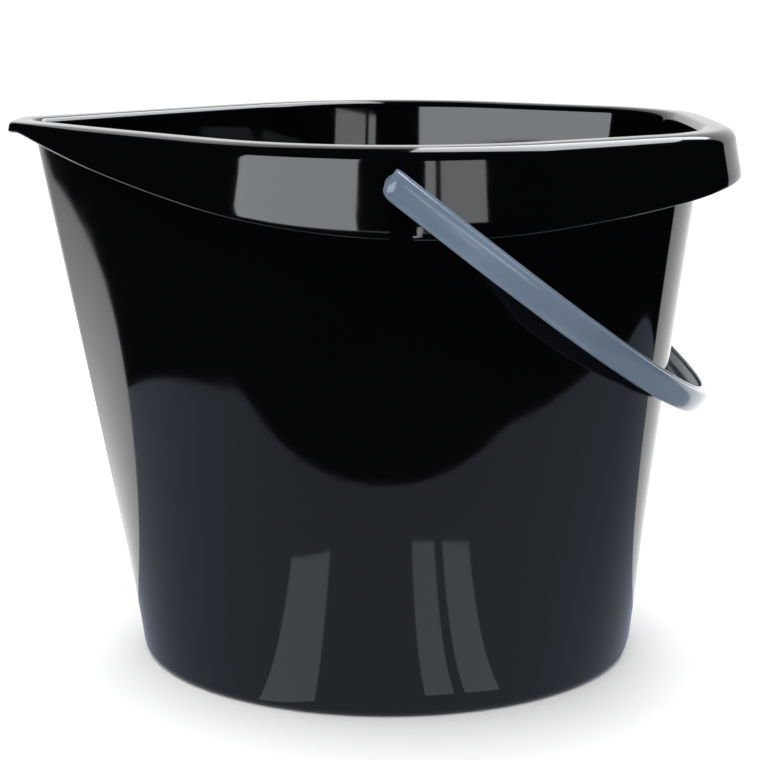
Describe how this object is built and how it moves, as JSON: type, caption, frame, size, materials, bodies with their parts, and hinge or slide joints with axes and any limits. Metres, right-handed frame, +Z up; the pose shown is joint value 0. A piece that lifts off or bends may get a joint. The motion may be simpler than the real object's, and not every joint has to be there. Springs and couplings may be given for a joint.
{
  "type": "florist bucket",
  "caption": "Black plastic florist's bucket with a pouring lip, a hanging skirt under the rolled rim, a finger arch in the foot and a swinging bail.",
  "frame": {"origin": "on the ground, in the bucket's plane of symmetry, 5 mm towards the grip end from the pivot line", "axes": "+Z up, the pouring lip points to -X and the grip end to +X, the pivot line runs along Y; the plane Y = 0 is the plane of symmetry"},
  "size_m": [0.3271, 0.3028, 0.25],
  "materials": {
    "black_plastic": "high gloss, injection moulded",
    "smoke_plastic": "smoky, slightly see-through, satin gloss"
  },
  "bodies": {
    "bucket": {"body": "black_plastic"},
    "handle": {"bail": "smoke_plastic"}
  },
  "joints": [
    {"name": "bail_swing", "type": "hinge", "parent": "bucket", "child": "handle", "pos_m": [-0.005, 0, 0.236], "axis": [0, -1, 0], "range_deg": [-4, 210.5]}
  ]
}
